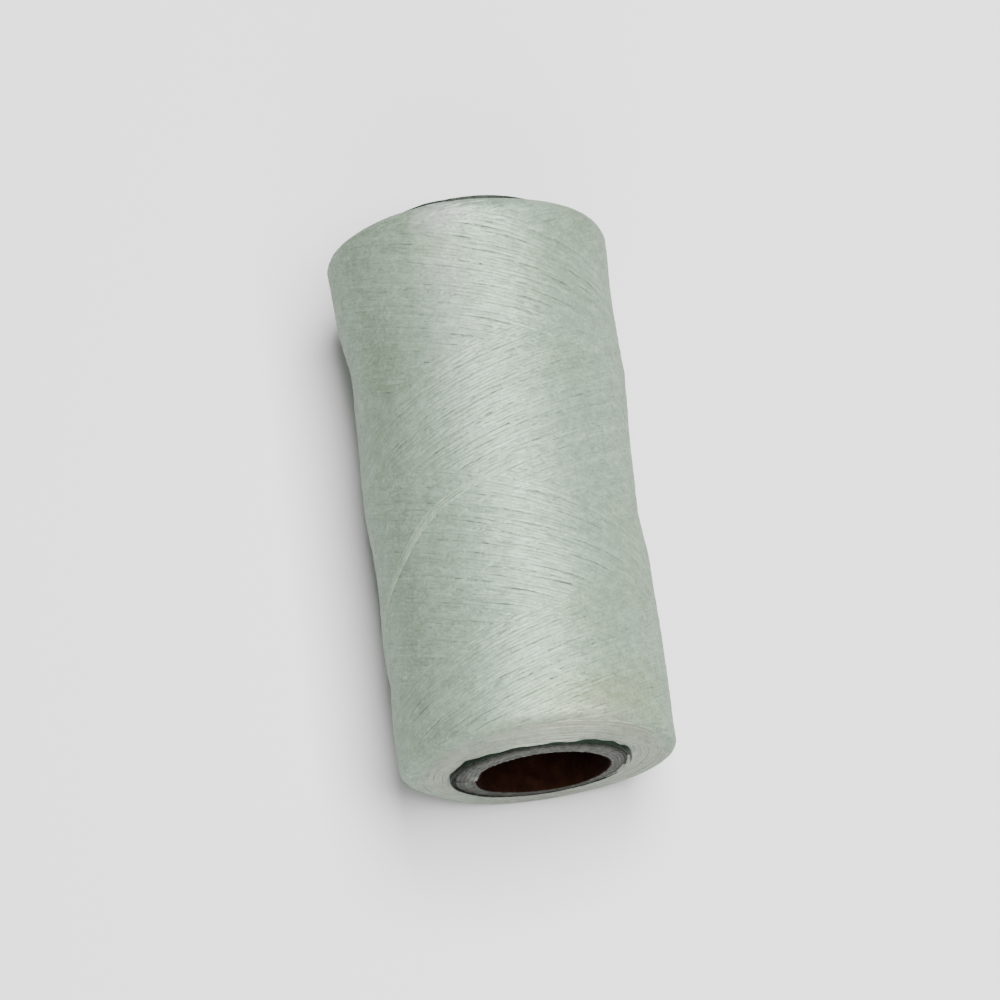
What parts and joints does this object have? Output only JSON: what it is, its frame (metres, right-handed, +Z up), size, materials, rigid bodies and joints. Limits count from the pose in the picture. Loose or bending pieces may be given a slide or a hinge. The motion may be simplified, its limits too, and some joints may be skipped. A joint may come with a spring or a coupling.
{
  "type": "string reel",
  "caption": "Fine flat thread, cross wound in a waisted cylindrical package on a laminated paper tube with an open bore and a catch slit at one end.",
  "frame": {"origin": "centre of the tube's bore at half the tube's length, with the reel lying on its side", "axes": "+Y along the bore from the end with the catch slit to the other end; +Z up, square to the flat that the winding lies on; +X to the right, so the catch slit is at -X"},
  "size_m": [0.0548, 0.1116, 0.0539],
  "materials": {
    "liner_kraft": "brown kraft paper, matt",
    "core_board": "grey chipboard, raw cut edge",
    "core_wrap": "dark green paper, satin",
    "thread": "waxed flat thread, pale greenish white, pearly sheen"
  },
  "bodies": {
    "root": {"core_inner_liner": "liner_kraft", "core_board_ply_1": "core_board", "core_board_ply_2": "core_board", "core_board_ply_3": "core_board", "core_board_ply_4": "core_board", "core_board_ply_5": "core_board", "core_board_ply_6": "core_board", "core_outer_wrap": "core_wrap", "thread_winding": "thread", "thread_outer_end": "thread", "thread_inner_end": "thread"}
  },
  "joints": []
}
